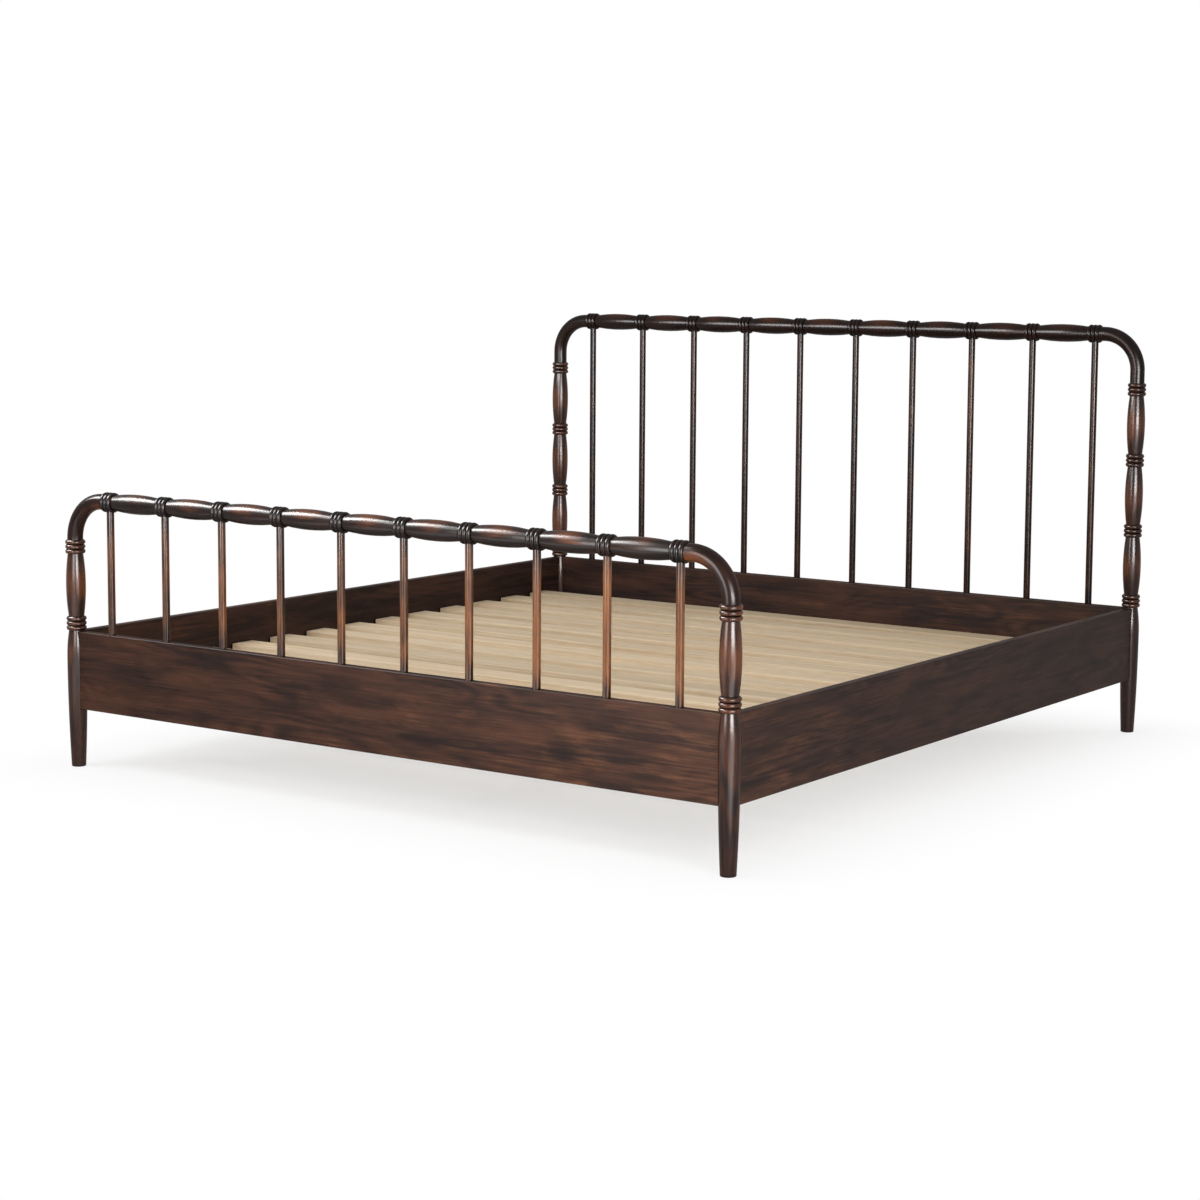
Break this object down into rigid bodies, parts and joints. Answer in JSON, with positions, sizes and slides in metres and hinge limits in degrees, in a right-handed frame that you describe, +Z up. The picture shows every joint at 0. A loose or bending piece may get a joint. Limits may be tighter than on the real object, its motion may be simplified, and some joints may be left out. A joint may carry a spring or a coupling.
{
  "type": "bed frame",
  "caption": "Dark wooden bed frame with beaded turned posts and rails, bent corner elbows, spindle headboard and footboard, and a slatted base on a centre beam with screw levellers.",
  "frame": {"origin": "on the floor under the middle of the bed", "axes": "+Z up, +Y from the footboard to the headboard, +X to the right seen from the foot"},
  "size_m": [2.051, 2.141, 1.1459],
  "materials": {
    "stained_wood": "dark brown stain under satin lacquer, rubbed lighter on the bends",
    "plain_wood": "planed, no stain",
    "steel": "zinc plated",
    "black_plastic": "moulded, fine grain"
  },
  "bodies": {
    "frame": {"foot_post_left": "stained_wood", "foot_elbow_left": "stained_wood", "foot_post_right": "stained_wood", "foot_elbow_right": "stained_wood", "foot_top_rail": "stained_wood", "foot_panel": "stained_wood", "foot_spindle_01": "stained_wood", "foot_spindle_02": "stained_wood", "foot_spindle_03": "stained_wood", "foot_spindle_04": "stained_wood", "foot_spindle_05": "stained_wood", "foot_spindle_06": "stained_wood", "foot_spindle_07": "stained_wood", "foot_spindle_08": "stained_wood", "foot_spindle_09": "stained_wood", "foot_spindle_10": "stained_wood", "head_post_left": "stained_wood", "head_elbow_left": "stained_wood", "head_post_right": "stained_wood", "head_elbow_right": "stained_wood", "head_top_rail": "stained_wood", "head_panel": "stained_wood", "head_spindle_01": "stained_wood", "head_spindle_02": "stained_wood", "head_spindle_03": "stained_wood", "head_spindle_04": "stained_wood", "head_spindle_05": "stained_wood", "head_spindle_06": "stained_wood", "head_spindle_07": "stained_wood", "head_spindle_08": "stained_wood", "head_spindle_09": "stained_wood", "head_spindle_10": "stained_wood", "side_rail_left": "stained_wood", "side_rail_right": "stained_wood", "centre_leg_foot": "plain_wood", "centre_leg_head": "plain_wood", "slat_ledge_left": "plain_wood", "slat_ledge_right": "plain_wood", "centre_beam": "plain_wood", "bed_slats": "plain_wood", "wood_dowels": "plain_wood", "corner_plate_foot_left": "steel", "corner_plate_foot_right": "steel", "beam_hanger_foot": "steel", "corner_plate_head_left": "steel", "corner_plate_head_right": "steel", "beam_hanger_head": "steel", "corner_bolts": "steel", "threaded_inserts": "steel", "leg_bolts": "steel", "ledge_screws": "steel", "slat_screws": "steel", "hanger_screws": "steel"},
    "foot_leveller_base": {"leveller_base_foot": "black_plastic"},
    "foot_leveller_stem": {"leveller_stem_foot": "steel"},
    "head_leveller_base": {"leveller_base_head": "black_plastic"},
    "head_leveller_stem": {"leveller_stem_head": "steel"}
  },
  "joints": [
    {"name": "foot_leveller_slide", "type": "slide", "parent": "frame", "child": "foot_leveller_base", "axis": [0, 0, -1], "range_m": [0, 0.01]},
    {"name": "foot_leveller_turn", "type": "hinge", "parent": "foot_leveller_base", "child": "foot_leveller_stem", "pos_m": [0, -0.34833, 0.011], "axis": [0, 0, -1], "range_deg": [0, 2880]},
    {"name": "head_leveller_slide", "type": "slide", "parent": "frame", "child": "head_leveller_base", "axis": [0, 0, -1], "range_m": [0, 0.01]},
    {"name": "head_leveller_turn", "type": "hinge", "parent": "head_leveller_base", "child": "head_leveller_stem", "pos_m": [0, 0.34833, 0.011], "axis": [0, 0, -1], "range_deg": [0, 2880]}
  ],
  "couplings": [
    {"joint": "foot_leveller_turn", "follows": "foot_leveller_slide", "rad_per_m": 5026.5},
    {"joint": "head_leveller_turn", "follows": "head_leveller_slide", "rad_per_m": 5026.5}
  ]
}
